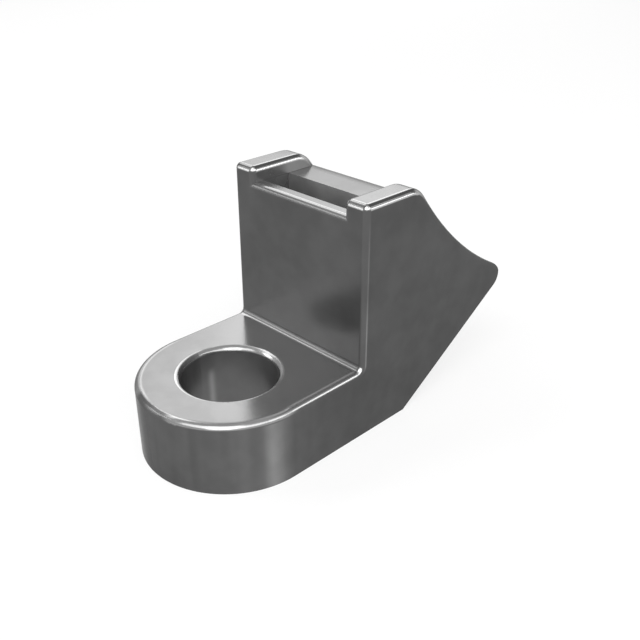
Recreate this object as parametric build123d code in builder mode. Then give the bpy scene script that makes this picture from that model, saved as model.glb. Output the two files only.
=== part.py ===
"""Wiring harness bracket: a cast steel block with a round-ended bolt lug and a notched clip tower.

Millimetres, +Z up. The origin is on the bolt hole's axis, in the plane of the base. The lug's round
end points to -Y, the clip tower and its nose to +Y, and the bracket is symmetric about X = 0.
"""

import os
from math import cos, radians, sin, sqrt

from build123d import *

# Body
width = 25.0  # across the two side faces, which is also the diameter of the lug's round end
height = 33.5  # from the base to the tops of the cheeks
lug_height = 10.3
wall_distance = 12.5  # from the bolt hole's axis to the front face of the tower
bolt_hole = 13.0  # clearance for an M12 bolt

# Notch and clip slot in the top of the tower
cheek = 3.9  # thickness of each cheek beside the notch
notch_depth = 2.2
wall_thickness = 2.0  # the clip's edge, between the front face and the slot
slot_width = 4.7
slot_depth = 12.0

# Back and underside, seen from the side
back_start = 22.75  # from the bolt hole's axis to where the hollow back would meet the top
back_angle = 54.1  # how steeply the hollow back leaves the top, in degrees
back_radius = 56.7
foot_distance = 21.5  # from the bolt hole's axis to where the underside leaves the base
underside_angle = 32.7  # in degrees, from the base

# Rounded edges
edge_radius = 0.8
shoulder_radius = 3.75  # between the cheeks' tops and the hollow back
nose_radius = 2.1  # between the hollow back and the underside

# Places that follow from the sizes
end_radius = width / 2
notch_width = width - 2 * cheek
notch_floor = height - notch_depth
slot_start = wall_distance + wall_thickness
back_centre = Vector(
    back_start + back_radius * sin(radians(back_angle)),
    height + back_radius * cos(radians(back_angle)),
)
blank_end = back_centre.X

# The nose's arc touches the underside's line and the back's circle from inside the body
uphill = Vector(cos(radians(underside_angle)), sin(radians(underside_angle)))
downward = Vector(uphill.Y, -uphill.X)
foot = Vector(foot_distance, 0)
inner_start = foot - downward * nose_radius
to_back = back_centre - inner_start
rise = to_back.dot(uphill)
offset = (to_back - uphill * rise).length
nose_centre = inner_start + uphill * (rise - sqrt((back_radius + nose_radius) ** 2 - offset**2))
nose_bottom = nose_centre + downward * nose_radius
nose_top = nose_centre + (back_centre - nose_centre).normalized() * nose_radius


def is_rounded(edge):
    """Tell whether an edge of the blank gets the common edge radius."""
    middle = edge.center()
    on_side = abs(abs(middle.X) - end_radius) < 0.01 and 0.01 < middle.Y < blank_end - 0.01
    on_front = abs(middle.Y - wall_distance) < 0.01 and middle.Z > lug_height + edge_radius + 0.01
    on_lug_top = abs(middle.Z - lug_height) < 0.01 and middle.Y < 0.01
    on_cheek = abs(abs(middle.X) - notch_width / 2) < 0.01 and middle.Z > notch_floor + 0.01
    on_bar = abs(middle.X) < 0.01 and abs(middle.Z - notch_floor) < 0.01
    behind_slot = middle.Y > slot_start + slot_width + 0.01
    return middle.Z > 0.01 and (on_side or on_front or on_lug_top or on_cheek or (on_bar and behind_slot))


with BuildPart() as harness_bracket:
    # Side view of the blank, with the hollow back running on past the nose
    with BuildSketch(Plane.YZ) as side_view:
        with BuildLine():
            Polyline(
                (-end_radius, 0),
                (blank_end, 0),
                (blank_end, height),
                (wall_distance, height),
                (wall_distance, lug_height),
                (-end_radius, lug_height),
                close=True,
            )
        make_face()
        with Locations(back_centre):
            Circle(back_radius, mode=Mode.SUBTRACT)
        fillet(side_view.vertices().sort_by_distance((back_start, height))[0], shoulder_radius)
        fillet(side_view.vertices().sort_by_distance((wall_distance, lug_height))[0], edge_radius)
    extrude(amount=width / 2, both=True)

    # Full round end of the lug, about the bolt hole
    with BuildSketch(Plane.XY):
        Circle(end_radius)
        with Locations((0, blank_end / 2)):
            Rectangle(width, blank_end)
    extrude(amount=height, mode=Mode.INTERSECT)

    # Notch between the cheeks, open to the front and the back
    with BuildSketch(Plane.XY.offset(notch_floor)):
        with Locations((0, blank_end / 2)):
            Rectangle(notch_width, blank_end)
    extrude(amount=notch_depth, mode=Mode.SUBTRACT)

    # Blind slot behind the clip's edge, flush with the cheeks
    with BuildSketch(Plane.XY.offset(notch_floor)):
        with Locations((0, slot_start + slot_width / 2)):
            Rectangle(notch_width, slot_width)
    extrude(amount=-slot_depth, mode=Mode.SUBTRACT)

    # Bolt hole
    with Locations((0, 0, lug_height)):
        Hole(bolt_hole / 2, depth=lug_height)

    # Every upper edge is rounded, while the base and the slot's mouth stay sharp
    fillet(edges().filter_by(is_rounded), edge_radius)

    # Sloping underside and rounded nose, cut last so that their edges stay sharp
    with BuildSketch(Plane.YZ):
        with BuildLine():
            RadiusArc(nose_bottom, nose_top, -nose_radius)
            Polyline(nose_top, back_centre, (blank_end, 0), foot, nose_bottom)
        make_face()
    extrude(amount=width, both=True, mode=Mode.SUBTRACT)

harness_bracket.part.label = "harness_bracket"

os.makedirs("parts", exist_ok=True)
export_step(harness_bracket.part, "parts/harness_bracket.step")
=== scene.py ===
"""Wiring harness bracket: one satin steel casting on a pale studio floor.

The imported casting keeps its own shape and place. This file gives it a finish, a floor, soft lights
and a camera. Lengths are in metres, in the casting's own frame: +Z up, with the origin on the bolt
hole's axis at the base.
"""

from __future__ import annotations

import logging
import math
from dataclasses import dataclass, field
from enum import Enum

import bmesh
import bpy
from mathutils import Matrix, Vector


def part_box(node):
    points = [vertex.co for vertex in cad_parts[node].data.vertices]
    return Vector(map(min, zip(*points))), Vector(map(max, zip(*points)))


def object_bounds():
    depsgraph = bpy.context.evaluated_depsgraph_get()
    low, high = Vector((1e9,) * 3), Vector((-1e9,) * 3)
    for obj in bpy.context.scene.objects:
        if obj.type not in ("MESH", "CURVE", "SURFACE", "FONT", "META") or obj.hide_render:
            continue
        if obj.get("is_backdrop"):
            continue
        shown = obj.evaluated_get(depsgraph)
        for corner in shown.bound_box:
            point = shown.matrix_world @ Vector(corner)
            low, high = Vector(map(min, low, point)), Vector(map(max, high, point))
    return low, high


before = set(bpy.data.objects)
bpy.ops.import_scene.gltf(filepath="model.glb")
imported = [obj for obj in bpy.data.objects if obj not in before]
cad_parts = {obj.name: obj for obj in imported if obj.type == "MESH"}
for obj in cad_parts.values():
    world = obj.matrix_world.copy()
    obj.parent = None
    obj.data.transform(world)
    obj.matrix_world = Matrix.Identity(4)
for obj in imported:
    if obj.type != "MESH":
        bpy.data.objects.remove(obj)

log = logging.getLogger("bracket")

MM = 0.001
MIDDLE = 0.5  # the middle of a noise that goes from 0 to 1
WHITE = (1.0, 1.0, 1.0, 1.0)

Link = bpy.types.NodeSocket
Tree = bpy.types.NodeTree


class Ray(Enum):
    """The kinds of ray that a Light Path node tells apart."""

    CAMERA = "Is Camera Ray"
    GLOSSY = "Is Glossy Ray"
    TRANSMISSION = "Is Transmission Ray"


class SocketKind(Enum):
    """The kinds of socket that the shared effects have."""

    NUMBER = "NodeSocketFloat"
    VECTOR = "NodeSocketVector"


class Mark(Enum):
    """The masks of the machined places and of the painted highlights, painted shade and painted slot
    light, in the order in which their greys are laid on.
    """

    GROUND = "Ground"
    CREST = "Crest"
    ROUNDED = "Rounded"
    CHEEK = "Cheek"
    LOW = "Low"
    BALL = "Ball"
    UPRIGHT = "Upright"
    TANGENT = "Tangent"
    BURNISHED = "Burnished"
    GROOVE = "Groove"
    BORE = "Bore"
    SLOT = "Slot"


def add_node(tree: Tree, kind: str, **settings: object) -> bpy.types.Node:
    """Adds a shader node and sets its properties.

    Args:
        tree: The node tree that gets the node.
        kind: The node's Blender type name.
        **settings: Property names and values of the node.

    Returns:
        The new node.
    """
    node = tree.nodes.new(kind)
    for name, value in settings.items():
        setattr(node, name, value)
    return node


def arithmetic(tree: Tree, operation: str, *values: Link | float) -> Link:
    """Adds a Math node whose inputs are links or plain numbers.

    Args:
        tree: The node tree that gets the node.
        operation: The Math node's operation.
        *values: Its inputs in order.

    Returns:
        The node's output.
    """
    node = add_node(tree, "ShaderNodeMath", operation=operation)
    for socket, value in zip(node.inputs, values):
        if isinstance(value, (int, float)):
            socket.default_value = value
        else:
            tree.links.new(value, socket)
    return node.outputs[0]


def product(tree: Tree, first: Link, *others: Link | float) -> Link:
    """Adds Math nodes that multiply their inputs in turn.

    Args:
        tree: The node tree that gets the nodes.
        first: The first factor.
        *others: The other factors in order.

    Returns:
        The last node's output.
    """
    for other in others:
        first = arithmetic(tree, "MULTIPLY", first, other)
    return first


def remainder(tree: Tree, mask: Link) -> Link:
    """Adds what a mask leaves of 1."""
    return arithmetic(tree, "SUBTRACT", 1.0, mask)


def blend(tree: Tree, share: Link, start: float, end: float) -> Link:
    """Adds a number that goes from start to end as the share goes from 0 to 1."""
    return arithmetic(tree, "MULTIPLY_ADD", share, end - start, start)


def size_of(tree: Tree, value: Link) -> Link:
    """Adds a value's size without its sign."""
    return arithmetic(tree, "ABSOLUTE", value)


def along(tree: Tree, bearing: float, east: Link, north: Link) -> Link:
    """Adds how far a direction or a place lies along a bearing.

    Args:
        tree: The node tree that gets the nodes.
        bearing: The bearing from +X towards +Y, in degrees.
        east: The direction's or place's part along X.
        north: Its part along Y.

    Returns:
        The sum's output.
    """
    turn = math.radians(bearing)
    part = arithmetic(tree, "MULTIPLY", east, math.cos(turn))
    return arithmetic(tree, "MULTIPLY_ADD", north, math.sin(turn), part)


def lobe(tree: Tree, facing: Link, sharpness: Link | float) -> Link:
    """Adds a soft peak, 1 where a facing is 1, that falls off the faster the sharper it is."""
    off = arithmetic(tree, "SUBTRACT", facing, 1.0)
    return arithmetic(tree, "EXPONENT", arithmetic(tree, "MULTIPLY", off, sharpness))


def is_backdrop_ray(tree: Tree) -> Link:
    """Adds a mask of the camera, glossy and transmission rays, which see a white backdrop.

    Args:
        tree: The node tree that gets the nodes.

    Returns:
        The mask's output.
    """
    path = add_node(tree, "ShaderNodeLightPath")
    mask = arithmetic(
        tree, "MAXIMUM", path.outputs[Ray.CAMERA.value], path.outputs[Ray.GLOSSY.value]
    )
    return arithmetic(tree, "MAXIMUM", mask, path.outputs[Ray.TRANSMISSION.value])


def shared_effect(name: str, outputs: dict[str, SocketKind]) -> tuple[Tree, bpy.types.Node]:
    """Starts a shader node group that puts out values and normals.

    Args:
        name: The group's name.
        outputs: Names and kinds of what it puts out.

    Returns:
        The group and its output node.
    """
    group = bpy.data.node_groups.new(name, "ShaderNodeTree")
    for label, kind in outputs.items():
        group.interface.new_socket(label, in_out="OUTPUT", socket_type=kind.value)
    return group, add_node(group, "NodeGroupOutput")


@dataclass(frozen=True)
class Ramp:
    """A soft step from 0 to 1.

    Attributes:
        start: Where it is 0.
        full: Where it is 1, which may be under the start.
    """

    start: float
    full: float

    def of(self, tree: Tree, value: Link) -> Link:
        """Adds the step.

        Args:
            tree: The node tree that gets the node.
            value: What is compared with the two limits.

        Returns:
            The step's output.
        """
        node = add_node(
            tree, "ShaderNodeMapRange", interpolation_type="SMOOTHSTEP", clamp=True
        )
        if self.start < self.full:
            ends = (self.start, self.full, 0.0, 1.0)
        else:
            ends = (self.full, self.start, 1.0, 0.0)
        for name, number in zip(("From Min", "From Max", "To Min", "To Max"), ends):
            node.inputs[name].default_value = number
        tree.links.new(value, node.inputs["Value"])
        return node.outputs["Result"]

    def reversed(self) -> Ramp:
        """Gives the same step the other way round."""
        return Ramp(self.full, self.start)


@dataclass(frozen=True)
class Spot:
    """A point of the surface, as links to its place and its facing.

    Attributes:
        x: Its place across the casting.
        y: Its place along it, from the lug towards the nose.
        z: Its height.
        east: How far it faces +X.
        north: How far it faces +Y.
        up: How far it faces +Z.
    """

    x: Link
    y: Link
    z: Link
    east: Link
    north: Link
    up: Link

    @classmethod
    def read(cls, tree: Tree) -> Spot:
        """Adds the object's own coordinates and normal, each split into X, Y and Z.

        Args:
            tree: The node tree that gets the nodes.

        Returns:
            The links to all six parts.
        """
        source = add_node(tree, "ShaderNodeTexCoord")
        links: list[Link] = []
        for name in ("Object", "Normal"):
            parts = add_node(tree, "ShaderNodeSeparateXYZ")
            tree.links.new(source.outputs[name], parts.inputs[0])
            links.extend(parts.outputs)
        return cls(*links)


@dataclass(frozen=True)
class Cloud:
    """A noise whose patches have a real size.

    Attributes:
        size: Width of a patch.
        stretch: How much finer the pattern is along each axis.
        detail: How many finer layers it has.
        roughness: How strong each finer layer is.
        shift: How far the pattern is moved, so that its grid doesn't start at the bolt hole.
    """

    size: float
    stretch: tuple[float, float, float] = (1.0, 1.0, 1.0)
    detail: float = 2.0
    roughness: float = 0.5
    shift: tuple[float, float, float] = (0.37, 0.61, 0.83)

    def of(self, tree: Tree) -> Link:
        """Adds the noise.

        Args:
            tree: The node tree that gets the nodes.

        Returns:
            The noise, about 0.5 on average.
        """
        source = add_node(tree, "ShaderNodeTexCoord")
        place = add_node(tree, "ShaderNodeMapping")
        place.inputs["Scale"].default_value = self.stretch
        place.inputs["Location"].default_value = self.shift
        noise = add_node(tree, "ShaderNodeTexNoise", noise_dimensions="3D")
        noise.inputs["Scale"].default_value = 1.0 / self.size
        noise.inputs["Detail"].default_value = self.detail
        noise.inputs["Roughness"].default_value = self.roughness
        tree.links.new(source.outputs["Object"], place.inputs["Vector"])
        tree.links.new(place.outputs[0], noise.inputs["Vector"])
        return noise.outputs[0]


@dataclass(frozen=True)
class BoltBore:
    """The bolt hole, as far as the marks follow its form.

    Attributes:
        radius: Radius that takes in its wall.
    """

    radius: float = 6.7 * MM

    def inside(self, tree: Tree, spot: Spot) -> Link:
        """Adds a mask of what lies inside its radius."""
        squares = arithmetic(
            tree, "ADD", product(tree, spot.x, spot.x), product(tree, spot.y, spot.y)
        )
        return arithmetic(tree, "LESS_THAN", squares, self.radius**2)


@dataclass(frozen=True)
class Lug:
    """The bolt lug, as far as the marks on it follow its form.

    Attributes:
        height: Height that all of it stays under.
        foot: Where the inner corner at the wall's foot starts, along Y.
        outline: How far from its middle line its rounded outer edge starts.
        straight: Where its round end gives way to its straight sides, along Y.
    """

    height: float = 14.0 * MM
    foot: float = 11.75 * MM
    outline: float = 11.7 * MM
    straight: Ramp = Ramp(-2.0 * MM, 1.0 * MM)

    def mask(self, tree: Tree, spot: Spot) -> Link:
        """Adds a mask of what is low enough to be on it."""
        return arithmetic(tree, "LESS_THAN", spot.z, self.height)

    def sides(self, tree: Tree, spot: Spot) -> Link:
        """Adds a mask of its straight part."""
        return product(tree, self.straight.of(tree, spot.y), self.mask(tree, spot))

    def reach(self, tree: Tree, spot: Spot) -> Link:
        """Adds the distance from its middle line, or from the bolt hole's axis at its round end.

        Args:
            tree: The node tree that gets the nodes.
            spot: The point of the surface.

        Returns:
            The distance's output.
        """
        behind = arithmetic(tree, "MINIMUM", spot.y, 0.0)
        squares = arithmetic(
            tree, "MULTIPLY_ADD", spot.x, spot.x, product(tree, behind, behind)
        )
        return arithmetic(tree, "SQRT", squares)


@dataclass(frozen=True)
class Block:
    """The block behind the lug, as far as the marks on it follow its form.

    Attributes:
        back: Where its ground top ends towards the nose, along Y.
        crest: Height at which the cheeks' rubbed tops lie.
        notch: Height just over the notch's floor, where the cheeks' inner faces start.
    """

    back: float = 23.5 * MM
    crest: float = 33.0 * MM
    notch: float = 31.29 * MM


LUG = Lug()
BLOCK = Block()


@dataclass(frozen=True)
class Stretch:
    """A stretch of the lug's round end.

    Attributes:
        bearing: Its middle as seen from the bolt hole, in degrees from +X towards +Y.
        full: Half width that it fills, in degrees.
        faded: Half width at which it has faded out, in degrees.
    """

    bearing: float
    full: float
    faded: float

    def of(self, tree: Tree, spot: Spot, reach: Link) -> Link:
        """Adds a mask of the stretch.

        Args:
            tree: The node tree that gets the nodes.
            spot: The point of the surface.
            reach: Its distance from the lug's middle line.

        Returns:
            The mask's output.
        """
        facing = arithmetic(tree, "DIVIDE", along(tree, self.bearing, spot.x, spot.y), reach)
        ends = Ramp(math.cos(math.radians(self.faded)), math.cos(math.radians(self.full)))
        return ends.of(tree, facing)


@dataclass(frozen=True)
class GroundFaces:
    """The top faces and edges that were ground bright, less the places where their lighter grey
    gives way to painted shade.

    Attributes:
        lug: The bolt lug's form.
        tilt: How far up a face looks that the wheel reached.
        end: Where the grinding ends towards the nose, along Y.
        brow: Where the block's rounded front edges start, along Y.
        brow_facing: How far they look to either side at most.
        brow_tilt: How far up they look where they are painted in shade.
        corner_width: Half width of the inner corner at the wall's foot, up to its ball ends.
        corner_tilt: How far up that corner looks where it is painted in shade.
        side_tilt: How far to the side the lug's straight edges look where they are painted in shade.
        painted_shade_arc: The stretch of the lug's rounded edge that is painted in shade.
        painted_shade_arc_start: Where across that edge it starts, as a distance from the lug's
            middle line.
        crest: Heights between which the top comes to be rubbed by the clip.
    """

    lug: Lug = LUG
    tilt: Ramp = Ramp(0.15, 0.45)
    end: Ramp = Ramp(BLOCK.back + 1.0 * MM, BLOCK.back - 1.0 * MM)
    brow: Ramp = Ramp(LUG.foot - 0.75 * MM, LUG.foot + 0.25 * MM)
    brow_facing: Ramp = Ramp(0.4, 0.2)
    brow_tilt: Ramp = Ramp(0.95, 0.8)
    corner_width: Ramp = Ramp(11.8 * MM, 11.5 * MM)
    corner_tilt: Ramp = Ramp(0.88, 0.74)
    side_tilt: Ramp = Ramp(0.74, 0.86)
    painted_shade_arc: Stretch = Stretch(-95.0, 12.0, 22.0)
    painted_shade_arc_start: Ramp = Ramp(LUG.outline - 0.02 * MM, LUG.outline + 0.17 * MM)
    crest: Ramp = Ramp(BLOCK.crest - 3.8 * MM, BLOCK.crest)

    def painted_shade(self, tree: Tree, spot: Spot) -> list[Link]:
        """Adds masks of the places painted in shade.

        Args:
            tree: The node tree that gets the nodes.
            spot: The point of the surface.

        Returns:
            The masks of the brow, the inner corner, the lug's straight edges and the stretch.
        """
        sideways = size_of(tree, spot.east)
        brow = product(
            tree,
            self.brow.of(tree, spot.y),
            self.brow_facing.of(tree, sideways),
            self.brow_tilt.of(tree, spot.up),
        )
        corner = product(
            tree,
            self.corner_width.of(tree, size_of(tree, spot.x)),
            arithmetic(tree, "GREATER_THAN", spot.y, self.lug.foot),
            self.lug.mask(tree, spot),
            self.corner_tilt.of(tree, spot.up),
        )
        side = product(tree, self.side_tilt.of(tree, sideways), self.lug.sides(tree, spot))
        reach = self.lug.reach(tree, spot)
        stretch = product(
            tree,
            self.painted_shade_arc.of(tree, spot, reach),
            self.painted_shade_arc_start.of(tree, reach),
            self.lug.mask(tree, spot),
        )
        return [brow, corner, side, stretch]

    def masks(self, tree: Tree, spot: Spot) -> dict[Mark, Link]:
        """Adds masks of the ground faces and of the rubbed tops among them.

        Args:
            tree: The node tree that gets the nodes.
            spot: The point of the surface.

        Returns:
            The masks by mark.
        """
        ground = product(tree, self.tilt.of(tree, spot.up), self.end.of(tree, spot.y))
        # Painted shade: the brow, the inner corner, the lug's straight edges and one stretch of its
        # rim lose the ground faces' lighter grey.
        for shaded in self.painted_shade(tree, spot):
            ground = product(tree, ground, remainder(tree, shaded))
        crest = product(tree, ground, self.crest.of(tree, spot.z))
        return {Mark.GROUND: ground, Mark.CREST: crest}


@dataclass(frozen=True)
class EdgeMarks:
    """Wear, painted highlights and painted shade on the rounded edges and on their corners.

    Attributes:
        lug: The bolt lug's form.
        tilt: How far up an edge looks, against the flat beside it.
        flank: How far to the side the cheeks' flanks look.
        low_rise: How far up the foot of the cheeks' edges looks at least.
        low_fall: How far up it looks at most.
        low_from: Height from which it lies.
        low_end: Where it ends at the back, along Y.
        line_tilt: How far up the painted highlight line at an edge's start looks.
        line_flat: How far up the flat beside it looks.
        line_share: How strong that line is away from the rubbed tops.
        turned: How far a corner looks both along and across the casting.
        painted_shine_from: Where the painted glints on corners start, along Y.
        upright_to: Where the wall's upright edges end, along Y.
    """

    lug: Lug = LUG
    tilt: Ramp = Ramp(0.999, 0.97)
    flank: Ramp = Ramp(0.1, 0.3)
    low_rise: Ramp = Ramp(0.07, 0.18)
    low_fall: Ramp = Ramp(0.47, 0.37)
    low_from: float = BLOCK.crest - 0.45 * MM
    low_end: Ramp = Ramp(BLOCK.back, BLOCK.back - 2.0 * MM)
    line_tilt: Ramp = Ramp(0.93, 0.985)
    line_flat: Ramp = Ramp(0.99995, 0.999)
    line_share: float = 0.7
    turned: Ramp = Ramp(0.05, 0.2)
    painted_shine_from: float = LUG.foot - 0.3 * MM
    upright_to: float = LUG.foot + 2.0 * MM

    def line(self, tree: Tree, spot: Spot) -> Link:
        """Adds a mask of the painted highlight line where flat and edge meet.

        It is full on edges that face midway between +X and +Y, or the opposite way, and fades out
        on those that face midway between +X and -Y, or the opposite way.

        Args:
            tree: The node tree that gets the nodes.
            spot: The point of the surface.

        Returns:
            The mask's output.
        """
        # Twice the square of the level part of the facing, which makes the quotient a cosine.
        level = arithmetic(tree, "MULTIPLY_ADD", spot.up, product(tree, spot.up, -2.0), 2.0)
        across = arithmetic(
            tree,
            "DIVIDE",
            size_of(tree, arithmetic(tree, "ADD", spot.east, spot.north)),
            arithmetic(tree, "SQRT", level),
        )
        return product(
            tree,
            self.line_tilt.of(tree, spot.up),
            self.line_flat.of(tree, spot.up),
            arithmetic(tree, "MINIMUM", across, 1.0),
        )

    def masks(self, tree: Tree, spot: Spot, ground: Link, crest: Link) -> dict[Mark, Link]:
        """Adds masks of the rounded edges, the cheeks' flanks and feet, the lines and the corners.

        Args:
            tree: The node tree that gets the nodes.
            spot: The point of the surface.
            ground: Mask of the ground faces.
            crest: Mask of the rubbed tops.

        Returns:
            The masks by mark.
        """
        edge = self.tilt.of(tree, spot.up)
        above = arithmetic(tree, "GREATER_THAN", spot.z, self.lug.height)
        flank = self.flank.of(tree, size_of(tree, spot.east))
        # Painted highlight at the foot of the cheeks' rounded edges.
        low = product(
            tree,
            self.low_rise.of(tree, spot.up),
            self.low_fall.of(tree, spot.up),
            arithmetic(tree, "GREATER_THAN", spot.z, self.low_from),
            self.low_end.of(tree, spot.y),
        )
        # Strength of the painted highlight line where flat and edge meet.
        strength = arithmetic(
            tree,
            "MULTIPLY_ADD",
            crest,
            1.0 - self.line_share,
            product(tree, ground, self.line_share),
        )
        # Painted glints on the corners and painted highlights on the wall's upright edges.
        painted_shine = product(
            tree,
            self.turned.of(tree, size_of(tree, product(tree, spot.east, spot.north))),
            arithmetic(tree, "GREATER_THAN", spot.y, self.painted_shine_from),
        )
        upright = product(
            tree,
            painted_shine,
            remainder(tree, ground),
            arithmetic(tree, "LESS_THAN", spot.y, self.upright_to),
        )
        # Cheek is painted shade on the cheeks' flanks.
        return {
            Mark.ROUNDED: product(tree, edge, ground),
            Mark.CHEEK: product(tree, edge, ground, above, flank),
            Mark.LOW: low,
            Mark.BALL: product(tree, painted_shine, ground),
            Mark.UPRIGHT: upright,
            Mark.TANGENT: product(tree, self.line(tree, spot), strength),
        }


@dataclass(frozen=True)
class LugLines:
    """The painted highlight line and the painted shade line along the lug's rounded outer edge.

    Attributes:
        lug: The bolt lug's form.
        width: How far to each side of the edge's start the painted highlight line reaches.
        tilt: How far up it looks.
        far: Where its far part starts on the round end, along X.
        far_share: How strong that part is.
        shade_line_rise: How far up the painted shade line beside it looks at least.
        shade_line_fall: How far up the painted shade line looks at most.
        shade_line_start: Where the painted shade line starts on the round end, along Y.
        painted_shade_stretch: The stretch where the edge's start has painted shade instead of a
            painted highlight.
        painted_shade_share: How strong the painted shade is there.
    """

    lug: Lug = LUG
    width: Ramp = Ramp(0.38 * MM, 0.03 * MM)
    tilt: Ramp = Ramp(0.93, 0.985)
    far: Ramp = Ramp(-1.0 * MM, -4.0 * MM)
    far_share: float = 0.45
    shade_line_rise: Ramp = Ramp(0.78, 0.86)
    shade_line_fall: Ramp = Ramp(0.94, 0.88)
    shade_line_start: Ramp = Ramp(-4.5 * MM, -1.0 * MM)
    painted_shade_stretch: Stretch = Stretch(-42.0, 12.0, 26.0)
    painted_shade_share: float = 0.5

    def masks(self, tree: Tree, spot: Spot) -> dict[Mark, Link]:
        """Adds masks of the painted highlight line and the painted shade line.

        Args:
            tree: The node tree that gets the nodes.
            spot: The point of the surface.

        Returns:
            The masks by mark.
        """
        reach = self.lug.reach(tree, spot)
        on_lug = self.lug.mask(tree, spot)
        before_wall = arithmetic(tree, "LESS_THAN", spot.y, self.lug.foot)
        off = size_of(tree, arithmetic(tree, "SUBTRACT", reach, self.lug.outline))
        start = product(tree, self.width.of(tree, off), self.tilt.of(tree, spot.up), on_lug)
        near = product(
            tree, self.lug.sides(tree, spot), arithmetic(tree, "GREATER_THAN", spot.x, 0.0)
        )
        far = product(
            tree,
            self.far.of(tree, spot.x),
            self.far_share,
            self.lug.straight.reversed().of(tree, spot.y),
        )
        # Painted shade line beside the painted highlight line.
        groove = product(
            tree,
            self.shade_line_rise.of(tree, spot.up),
            self.shade_line_fall.of(tree, spot.up),
            arithmetic(tree, "GREATER_THAN", reach, self.lug.outline),
            before_wall,
            self.shade_line_start.of(tree, spot.y),
            on_lug,
        )
        # Painted shade at one stretch of the edge's start, and the painted highlight line on the
        # straight sides and the far side.
        painted_shade_stretch = product(tree, start, self.painted_shade_stretch.of(tree, spot, reach), self.painted_shade_share)
        painted_shine = product(tree, start, arithmetic(tree, "MAXIMUM", near, far), before_wall)
        return {
            Mark.BURNISHED: painted_shine,
            Mark.GROOVE: arithmetic(tree, "MAXIMUM", groove, painted_shade_stretch),
        }


@dataclass(frozen=True)
class MilledHolesAndPaintedSlotLight:
    """The milled walls of the bolt hole and of the slot, and the painted light in the slot.

    Attributes:
        bore: The bolt hole.
        bore_top: Heights between which its wall gives way to its rounded edge.
        slot_half: Half width of the box that takes in the slot's walls.
        slot_front: Front of that box.
        slot_back: Back of that box.
        slot_top: Top of that box, where the cheeks' inner faces start.
        cheek_foot: Heights between which those come in.
        cheek_facing: How far to the side they look.
        painted_light_fade_at_ends: How much less painted light the slot's ends and those faces get.
        behind: Where behind the slot those faces get more painted light, along Y.
        rubbed: How much more painted light they get there.
    """

    bore: BoltBore = BoltBore()
    bore_top: Ramp = Ramp(9.8 * MM, 9.5 * MM)
    slot_half: float = 8.7 * MM
    slot_front: float = 14.4 * MM
    slot_back: float = 19.3 * MM
    slot_top: float = BLOCK.notch
    cheek_foot: Ramp = Ramp(BLOCK.notch, BLOCK.notch + 0.1 * MM)
    cheek_facing: Ramp = Ramp(0.9, 0.98)
    painted_light_fade_at_ends: float = 0.86
    behind: Ramp = Ramp(17.5 * MM, 19.5 * MM)
    rubbed: float = 0.3

    def masks(self, tree: Tree, spot: Spot) -> dict[Mark, Link]:
        """Adds masks of the milled walls and of the painted light in the slot.

        Args:
            tree: The node tree that gets the nodes.
            spot: The point of the surface.

        Returns:
            The masks by mark.
        """
        bore = product(
            tree, self.bore.inside(tree, spot), self.bore_top.of(tree, spot.z)
        )
        sideways = size_of(tree, spot.east)
        between = arithmetic(tree, "LESS_THAN", size_of(tree, spot.x), self.slot_half)
        box = product(
            tree,
            between,
            arithmetic(tree, "GREATER_THAN", spot.y, self.slot_front),
            arithmetic(tree, "LESS_THAN", spot.y, self.slot_back),
            arithmetic(tree, "LESS_THAN", spot.z, self.slot_top),
        )
        cheeks = product(
            tree,
            between,
            self.cheek_foot.of(tree, spot.z),
            self.cheek_facing.of(tree, sideways),
        )
        # Painted light: the slot's walls and the cheeks' inner faces take a lighter grey, less at
        # the slot's ends and more behind it.
        strength = arithmetic(tree, "MULTIPLY_ADD", sideways, -self.painted_light_fade_at_ends, 1.0)
        rubbed = product(tree, cheeks, self.behind.of(tree, spot.y))
        strength = arithmetic(tree, "MULTIPLY_ADD", rubbed, self.rubbed, strength)
        slot = product(tree, arithmetic(tree, "MAXIMUM", box, cheeks), strength)
        return {Mark.BORE: bore, Mark.SLOT: slot}


@dataclass(frozen=True)
class MachinedAndPaintedPlaces:
    """Where the casting was machined bright and where light and shade are painted on it, worked out
    from place and facing.

    Attributes:
        faces: The ground faces, less the places painted in shade.
        edges: The wear, painted highlights and painted shade on rounded edges and corners.
        lines: The painted highlight line and the painted shade line along the lug's outer edge.
        holes: The milled holes and the painted light in the slot.
    """

    faces: GroundFaces = GroundFaces()
    edges: EdgeMarks = EdgeMarks()
    lines: LugLines = LugLines()
    holes: MilledHolesAndPaintedSlotLight = MilledHolesAndPaintedSlotLight()

    def group(self) -> Tree:
        """Makes the group.

        Returns:
            A group that puts out one mask for each mark.
        """
        outputs = {mark.value: SocketKind.NUMBER for mark in Mark}
        group, end = shared_effect("machined_and_painted_places", outputs)
        spot = Spot.read(group)
        masks = self.faces.masks(group, spot)
        masks |= self.edges.masks(group, spot, masks[Mark.GROUND], masks[Mark.CREST])
        masks |= self.lines.masks(group, spot)
        masks |= self.holes.masks(group, spot)
        for mark, mask in masks.items():
            group.links.new(mask, end.inputs[mark.value])
        return group


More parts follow.
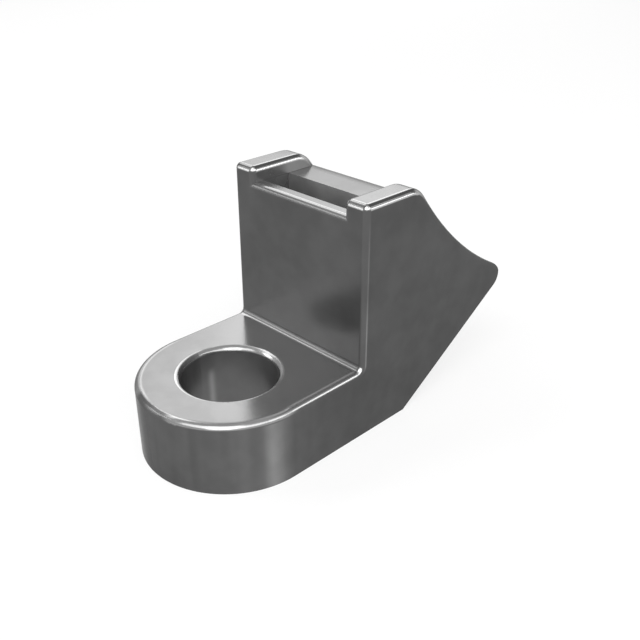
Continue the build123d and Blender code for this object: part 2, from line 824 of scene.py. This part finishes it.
@dataclass(frozen=True)
class PaintedReflectionBand:
    """A painted reflection: a bright upright band on every turned wall, and a faint one beside it.

    Attributes:
        bearing: Bearing that the bright band faces on every turned wall, in degrees.
        outside: How far it spreads to each side on outer walls, in degrees.
        inside: How far it spreads in the bolt hole, in degrees.
        bore: The bolt hole.
        bore_share: How much fainter it is in the hole.
        bore_more: How much fainter still it gets towards the hole's top.
        bore_fade: Heights between which it does.
        uneven: How much the streaks change it.
        least: How strong it is in the darkest streaks.
        fade: Heights between which it grows fainter on the block's edges.
        fade_share: How much fainter it grows there.
        end: Heights between which it ends.
        shoulder: Bearing that the faint band faces on the lug's round end, in degrees.
        shoulder_spread: How far the faint band spreads to each side, in degrees.
        shoulder_share: How strong the faint band is.
    """

    bearing: float = -14.0
    outside: float = 4.6
    inside: float = 3.0
    bore: BoltBore = BoltBore()
    bore_share: float = 0.22
    bore_more: float = 0.78
    bore_fade: Ramp = Ramp(6.2 * MM, 7.8 * MM)
    uneven: float = 0.5
    least: float = 0.75
    fade: Ramp = Ramp(15.0 * MM, 22.0 * MM)
    fade_share: float = 0.5
    end: Ramp = Ramp(32.0 * MM, 27.0 * MM)
    shoulder: float = -30.0
    shoulder_spread: float = 25.0
    shoulder_share: float = 0.4

    def of(self, tree: Tree, spot: Spot, streaks: Link, turned: Link) -> Link:
        """Adds both bands.

        Args:
            tree: The node tree that gets the nodes.
            spot: The point of the surface.
            streaks: The upright streaks.
            turned: Mask of the lug's round end.

        Returns:
            The sum's output.
        """
        within = self.bore.inside(tree, spot)
        wide, narrow = math.radians(self.outside) ** -2, math.radians(self.inside) ** -2
        sharpness = blend(tree, within, wide, narrow)
        facing = along(tree, self.bearing, spot.east, spot.north)
        fainter = arithmetic(
            tree,
            "MULTIPLY_ADD",
            self.bore_fade.of(tree, spot.z),
            self.bore_more,
            self.bore_share,
        )
        # Painted reflection: a bright upright band at one bearing.
        band = product(
            tree,
            lobe(tree, facing, sharpness),
            arithmetic(tree, "MULTIPLY_ADD", streaks, self.uneven, self.least),
            remainder(tree, product(tree, within, fainter)),
            blend(tree, self.fade.of(tree, spot.z), 1.0, 1.0 - self.fade_share),
            self.end.of(tree, spot.z),
        )
        # Painted reflection: a faint band on the lug's round end.
        aside = along(tree, self.shoulder, spot.east, spot.north)
        broad = product(
            tree,
            lobe(tree, aside, math.radians(self.shoulder_spread) ** -2),
            self.shoulder_share,
            turned,
            remainder(tree, within),
        )
        return arithmetic(tree, "ADD", band, broad)


@dataclass(frozen=True)
class CastSkinAndPaintedReflection:
    """The cloudy, finely grained skin that casting and tumbling leave, and a painted reflection band
    on its upright walls.

    Attributes:
        patches: The cloudy patches.
        specks: The finer patches on them.
        patch_share: Share of the cloudy patches in their sum with the finer ones.
        contrast: How the patches' noise is spread.
        upright: The upright streaks on walls.
        streak_contrast: How the streaks' noise is spread.
        turned: Where the lug's round end has streaks, along Y.
        band: The painted reflection bands.
        grain: The finest grain.
        relief: Depth of the grain.
    """

    patches: Cloud = Cloud(9.0 * MM, detail=3.0)
    specks: Cloud = Cloud(2.6 * MM)
    patch_share: float = 0.7
    contrast: Ramp = Ramp(0.3, 0.7)
    upright: Cloud = Cloud(2.2 * MM, stretch=(1.0, 1.0, 0.04), detail=1.0)
    streak_contrast: Ramp = Ramp(0.32, 0.68)
    turned: Ramp = Ramp(6.0 * MM, 0.0)
    band: PaintedReflectionBand = PaintedReflectionBand()
    grain: Cloud = Cloud(0.22 * MM, detail=3.0)
    relief: float = 0.0012 * MM

    def group(self) -> Tree:
        """Makes the group.

        Returns:
            A group that puts out the clouds, the streaks, the painted reflection bands and the
            grain's normal.
        """
        kinds = dict.fromkeys(("Cloud", "Streak", "Drawn"), SocketKind.NUMBER)
        kinds["Normal"] = SocketKind.VECTOR
        group, end = shared_effect("cast_skin_and_painted_reflection", kinds)
        wide = self.contrast.of(group, self.patches.of(group))
        fine = self.contrast.of(group, self.specks.of(group))
        clouds = arithmetic(
            group,
            "ADD",
            product(group, wide, self.patch_share),
            product(group, fine, 1.0 - self.patch_share),
        )
        group.links.new(clouds, end.inputs["Cloud"])
        spot = Spot.read(group)
        streaks = self.streak_contrast.of(group, self.upright.of(group))
        turned = self.turned.of(group, spot.y)
        centred = arithmetic(group, "SUBTRACT", streaks, MIDDLE)
        streaked = arithmetic(group, "MULTIPLY_ADD", centred, turned, MIDDLE)
        group.links.new(streaked, end.inputs["Streak"])
        # Painted reflection bands on the upright walls.
        drawn = self.band.of(group, spot, streaks, turned)
        group.links.new(drawn, end.inputs["Drawn"])
        bump = add_node(group, "ShaderNodeBump")
        bump.inputs["Strength"].default_value = 1.0
        bump.inputs["Distance"].default_value = self.relief
        group.links.new(self.grain.of(group), bump.inputs["Height"])
        group.links.new(bump.outputs[0], end.inputs["Normal"])
        return group


@dataclass(frozen=True)
class SatinSteel:
    """Bare cast steel with a satin skin, ground bright on top and machined in its holes, with
    painted highlights, painted shade, a painted reflection band and painted light in its slot.

    Attributes:
        skin: Linear grey of the cast skin.
        ground: Linear grey of the ground top faces.
        crest: Linear grey of the cheeks' tops, which a clip rubs.
        rounded: Linear grey of the rounded edges of the ground faces.
        cheek: Linear grey of the cheeks' rounded flanks, painted shade.
        low: Linear grey of the foot of the cheeks' rounded edges, a painted highlight.
        ball: Linear grey of the ball corners, a painted glint.
        upright: Linear grey of the wall's upright edges, a painted highlight.
        tangent: Linear grey of the painted highlight line where flat and edge meet.
        burnished: Linear grey of the painted highlight line along the lug's outer edge.
        groove: Linear grey of the painted shade line beside it.
        bore: Linear grey of the bolt hole's wall.
        slot: Linear grey of the slot's walls, painted light in the slot.
        clouds: How far the clouds change the grey, as a share.
        streaks: How far the streaks change it.
        worn_off: How much of both the grinding took off.
        drawn: How much the painted reflection band adds to it.
        metal: How metallic the oxide skin is.
        bare: How metallic the ground and milled faces are.
        bore_bare: How far the bolt hole's wall is bare.
        rim: Grey that the reflections turn to at a glancing angle.
        index: Refractive index of the oxide skin's thin glaze.
        roughness: Roughness of the clean cast skin.
        ground_roughness: Roughness of the ground top faces.
        dulling: How much rougher the palest clouds are.
        cut_roughness: Roughness of the slot's walls.
        bore_cut: How far the bolt hole's wall is as rough as those.
    """

    skin: float = 0.098
    ground: float = 0.287
    crest: float = 0.42
    rounded: float = 0.3
    cheek: float = 0.09
    low: float = 0.56
    ball: float = 0.55
    upright: float = 0.118
    tangent: float = 0.55
    burnished: float = 0.66
    groove: float = 0.17
    bore: float = 0.178
    slot: float = 0.48
    clouds: float = 0.26
    streaks: float = 0.16
    worn_off: float = 0.6
    drawn: float = 0.95
    metal: float = 0.47
    bare: float = 0.9
    bore_bare: float = 0.7
    rim: float = 0.3
    index: float = 1.24
    roughness: float = 0.22
    ground_roughness: float = 0.18
    dulling: float = 0.04
    cut_roughness: float = 0.4
    bore_cut: float = 0.6

    def colour(self, tree: Tree, places: bpy.types.Node, skin: bpy.types.Node) -> Link:
        """Adds the surface's grey, with its painted highlights, painted shade, painted reflection
        and painted slot light.

        Args:
            tree: The node tree that gets the nodes.
            places: The node of the machined places and the painted marks.
            skin: The node of the cast skin and the painted reflection band.

        Returns:
            The colour's output.
        """
        grey: Link | float = self.skin
        for mark in Mark:
            gap = arithmetic(tree, "SUBTRACT", getattr(self, mark.name.lower()), grey)
            grey = arithmetic(tree, "MULTIPLY_ADD", places.outputs[mark.value], gap, grey)
        ground = places.outputs[Mark.GROUND.value]
        for name, share in (("Cloud", self.clouds), ("Streak", self.streaks)):
            left = blend(tree, ground, share, (1.0 - self.worn_off) * share)
            centred = arithmetic(tree, "SUBTRACT", skin.outputs[name], MIDDLE)
            grey = product(
                tree, grey, arithmetic(tree, "MULTIPLY_ADD", centred, left, 1.0)
            )
        # The painted reflection band lightens the grey.
        drawn = blend(tree, skin.outputs["Drawn"], 1.0, 1.0 + self.drawn)
        grey = product(tree, grey, drawn)
        colour = add_node(tree, "ShaderNodeCombineColor")
        for socket in colour.inputs:
            tree.links.new(grey, socket)
        return colour.outputs[0]

    def rough(self, tree: Tree, places: bpy.types.Node, skin: bpy.types.Node) -> Link:
        """Adds the surface's roughness.

        Args:
            tree: The node tree that gets the nodes.
            places: The node of the machined places and the painted marks.
            skin: The cast skin's node.

        Returns:
            The roughness's output.
        """
        satin = blend(
            tree, places.outputs[Mark.GROUND.value], self.roughness, self.ground_roughness
        )
        satin = arithmetic(tree, "MULTIPLY_ADD", skin.outputs["Cloud"], self.dulling, satin)
        bore = product(tree, places.outputs[Mark.BORE.value], self.bore_cut)
        cut = arithmetic(tree, "MAXIMUM", places.outputs[Mark.SLOT.value], bore)
        return arithmetic(
            tree, "MULTIPLY_ADD", cut, self.cut_roughness - self.roughness, satin
        )

    def metallic(self, tree: Tree, places: bpy.types.Node) -> Link:
        """Adds how metallic the surface is.

        Args:
            tree: The node tree that gets the nodes.
            places: The node of the machined places and the painted marks.

        Returns:
            The metallic share's output.
        """
        bore = product(tree, places.outputs[Mark.BORE.value], self.bore_bare)
        worked = arithmetic(
            tree,
            "MAXIMUM",
            places.outputs[Mark.GROUND.value],
            places.outputs[Mark.SLOT.value],
        )
        return blend(tree, arithmetic(tree, "MAXIMUM", worked, bore), self.metal, self.bare)

    def material(self) -> bpy.types.Material:
        """Makes the material.

        Returns:
            The finished material.
        """
        made = bpy.data.materials.new("satin_steel")
        made.use_nodes = True
        tree = made.node_tree
        places = add_node(tree, "ShaderNodeGroup", node_tree=MachinedAndPaintedPlaces().group())
        skin = add_node(tree, "ShaderNodeGroup", node_tree=CastSkinAndPaintedReflection().group())
        shader = tree.nodes["Principled BSDF"]
        shader.inputs["IOR"].default_value = self.index
        shader.inputs["Specular Tint"].default_value = (self.rim, self.rim, self.rim, 1.0)
        tree.links.new(self.colour(tree, places, skin), shader.inputs["Base Color"])
        tree.links.new(self.rough(tree, places, skin), shader.inputs["Roughness"])
        tree.links.new(self.metallic(tree, places), shader.inputs["Metallic"])
        tree.links.new(skin.outputs["Normal"], shader.inputs["Normal"])
        return made


@dataclass
class Casting:
    """The bracket itself, one solid casting.

    Attributes:
        node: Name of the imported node.
        finish: Its finish.
    """

    node: str = "harness_bracket"
    finish: SatinSteel = field(default_factory=SatinSteel)

    def dress(self) -> bpy.types.Object:
        """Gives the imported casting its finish.

        Returns:
            The casting's object.
        """
        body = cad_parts[self.node]
        body.data.materials.clear()
        body.data.materials.append(self.finish.material())
        low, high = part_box(self.node)
        size = [(end - start) / MM for start, end in zip(low, high)]
        log.info("%s: %.1f x %.1f x %.1f mm", self.node, *size)
        return body


@dataclass(frozen=True)
class PaleFloor:
    """The studio's plain pale matte floor, a disc inside the ring of lamps.

    Attributes:
        reach: Its radius.
        sides: How many sides its rim has.
        pale: Linear grey of its own surface.
        white: Light that it adds for the rays that see the backdrop.
        gap: How far it lies below the base, so that the two don't flicker.
    """

    reach: float = 0.6
    sides: int = 96
    pale: float = 0.25
    white: float = 0.75
    gap: float = 0.02 * MM

    def material(self) -> bpy.types.Material:
        """Makes a floor that is white to the camera and keeps the casting's shadow.

        Returns:
            The floor's material.
        """
        made = bpy.data.materials.new("pale_floor")
        made.use_nodes = True
        tree = made.node_tree
        shader = tree.nodes["Principled BSDF"]
        shader.inputs["Base Color"].default_value = (self.pale, self.pale, self.pale, 1.0)
        shader.inputs["Roughness"].default_value = 1.0
        shader.inputs["Specular IOR Level"].default_value = 0.0
        shader.inputs["Emission Color"].default_value = WHITE
        shown = product(tree, is_backdrop_ray(tree), self.white)
        tree.links.new(shown, shader.inputs["Emission Strength"])
        return made

    def build(self) -> bpy.types.Object:
        """Makes the floor.

        Returns:
            The floor's object.
        """
        mesh = bpy.data.meshes.new("floor")
        sheet = bmesh.new()
        bmesh.ops.create_circle(sheet, cap_ends=True, segments=self.sides, radius=self.reach)
        bmesh.ops.translate(sheet, vec=(0.0, 0.0, -self.gap), verts=sheet.verts)
        sheet.to_mesh(mesh)
        sheet.free()
        mesh.materials.append(self.material())
        floor = bpy.data.objects.new("floor", mesh)
        bpy.context.scene.collection.objects.link(floor)
        floor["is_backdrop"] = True
        return floor


@dataclass(frozen=True)
class SoftBox:
    """One soft light, a rectangular lamp that faces the casting.

    Attributes:
        name: Its name.
        azimuth: Its bearing from +X towards +Y, in degrees.
        elevation: Its height above the floor as an angle, in degrees.
        wide: The angle that it fills across, in degrees.
        high: The angle that it fills upwards, in degrees.
        radiance: How bright its face is, where 1 is white.
        distance: How far it stands from the casting's middle.
    """

    name: str
    azimuth: float
    elevation: float
    wide: float
    high: float
    radiance: float
    distance: float = 0.6

    def span(self, angle: float) -> float:
        """Gives the length that fills an angle at the lamp's distance."""
        return 2.0 * self.distance * math.tan(math.radians(angle) / 2.0)

    def build(self, middle: Vector) -> bpy.types.Object:
        """Makes the lamp.

        Args:
            middle: The point that it faces.

        Returns:
            The lamp's object.
        """
        turn, rise = math.radians(self.azimuth), math.radians(self.elevation)
        level = math.cos(rise)
        outward = Vector((math.cos(turn) * level, math.sin(turn) * level, math.sin(rise)))
        lamp = bpy.data.lights.new(self.name, "AREA")
        lamp.shape = "RECTANGLE"
        lamp.size = self.span(self.wide)
        lamp.size_y = self.span(self.high)
        lamp.energy = self.radiance * math.pi * lamp.size * lamp.size_y
        lit = bpy.data.objects.new(self.name, lamp)
        lit.location = middle + outward * self.distance
        lit.rotation_euler = (-outward).to_track_quat("-Z", "Y").to_euler()
        lit.visible_camera = False
        bpy.context.scene.collection.objects.link(lit)
        return lit


@dataclass(frozen=True)
class Surround:
    """The studio's plain white surround.

    Attributes:
        white: Its brightness to the camera.
        mirrored: Its brightness in reflections and through glass.
        fill: Its brightness for all other rays.
    """

    white: float = 1.0
    mirrored: float = 0.8
    fill: float = 0.16

    def build(self) -> bpy.types.World:
        """Makes the world.

        Returns:
            The world, set on the scene.
        """
        world = bpy.data.worlds.new("surround")
        world.use_nodes = True
        tree = world.node_tree
        tree.nodes.clear()
        sky = add_node(tree, "ShaderNodeBackground")
        sky.inputs["Color"].default_value = WHITE
        strength = blend(tree, is_backdrop_ray(tree), self.fill, self.mirrored)
        seen = add_node(tree, "ShaderNodeLightPath").outputs[Ray.CAMERA.value]
        more = self.white - self.mirrored
        strength = arithmetic(tree, "MULTIPLY_ADD", seen, more, strength)
        tree.links.new(strength, sky.inputs["Strength"])
        end = add_node(tree, "ShaderNodeOutputWorld")
        tree.links.new(sky.outputs[0], end.inputs["Surface"])
        bpy.context.scene.world = world
        return world


@dataclass(frozen=True)
class Viewpoint:
    """The photograph's camera.

    Attributes:
        place: Where it stands.
        azimuth: How far it stands round from -Y towards +X, in degrees.
        elevation: How far down it looks, in degrees.
        lens: Focal length on the sensor, in millimetres.
        sensor: Width of the sensor, in millimetres.
        nearest: Distance from which it sees.
        farthest: Distance up to which it sees.
    """

    place: tuple[float, float, float] = (0.074121, -0.056565, 0.067785)
    azimuth: float = 45.25
    elevation: float = 28.242
    lens: float = 45.979
    sensor: float = 36.0
    nearest: float = 0.001
    farthest: float = 20.0

    def build(self) -> bpy.types.Object:
        """Makes the camera and gives it to the scene.

        Returns:
            The camera's object.
        """
        turn, fall = math.radians(self.azimuth), math.radians(self.elevation)
        level = math.cos(fall)
        look = Vector((-math.sin(turn) * level, math.cos(turn) * level, -math.sin(fall)))
        lens = bpy.data.cameras.new("camera")
        lens.sensor_width, lens.lens = self.sensor, self.lens
        lens.clip_start, lens.clip_end = self.nearest, self.farthest
        camera = bpy.data.objects.new("camera", lens)
        camera.location = self.place
        camera.rotation_euler = look.to_track_quat("-Z", "Y").to_euler()
        bpy.context.scene.collection.objects.link(camera)
        bpy.context.scene.camera = camera
        return camera


LAMPS = (
    SoftBox("back_box", azimuth=132.0, elevation=24.0, wide=38.0, high=38.0, radiance=1.4),
    SoftBox("back_bright_box", azimuth=131.0, elevation=29.0, wide=24.0, high=12.0, radiance=0.95),
    SoftBox("back_high_box", azimuth=-175.0, elevation=49.0, wide=44.0, high=14.0, radiance=2.6),
    SoftBox("back_left_box", azimuth=167.0, elevation=13.0, wide=18.0, high=26.0, radiance=0.35),
    SoftBox("left_box", azimuth=-138.0, elevation=28.0, wide=20.0, high=18.0, radiance=7.4),
    SoftBox("left_low_box", azimuth=-135.0, elevation=8.0, wide=20.0, high=12.0, radiance=2.6),
    SoftBox("front_left_box", azimuth=-83.0, elevation=42.0, wide=32.0, high=34.0, radiance=2.2),
    SoftBox("front_box", azimuth=-52.0, elevation=40.0, wide=30.0, high=62.0, radiance=2.7),
    SoftBox("front_right_box", azimuth=-20.0, elevation=36.0, wide=34.0, high=30.0, radiance=2.2),
    SoftBox("right_box", azimuth=16.0, elevation=34.0, wide=22.0, high=24.0, radiance=2.4),
    SoftBox("far_right_box", azimuth=47.0, elevation=24.0, wide=20.0, high=28.0, radiance=3.7),
)


@dataclass
class Studio:
    """The floor, the surround, the lamps and the camera.

    Attributes:
        floor: The pale floor.
        surround: The white surround.
        lamps: The soft lights.
        viewpoint: The camera.
    """

    floor: PaleFloor = field(default_factory=PaleFloor)
    surround: Surround = field(default_factory=Surround)
    lamps: tuple[SoftBox, ...] = LAMPS
    viewpoint: Viewpoint = field(default_factory=Viewpoint)

    def build(self) -> None:
        """Makes everything round the casting."""
        low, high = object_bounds()
        middle = (low + high) / 2.0
        self.floor.build()
        self.surround.build()
        for box in self.lamps:
            box.build(middle)
            log.info(
                "%s: %.1f at %.0f, %.0f degrees", box.name, box.radiance, box.azimuth, box.elevation
            )
        self.viewpoint.build()
        bpy.context.scene.view_settings.view_transform = "Standard"


def main() -> None:
    """Dresses the casting, sets the studio round it and notes the casting's size."""
    logging.basicConfig(level=logging.INFO, format="%(name)s: %(message)s")
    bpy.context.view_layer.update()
    Casting().dress()
    Studio().build()


if __name__ == "__main__":
    main()
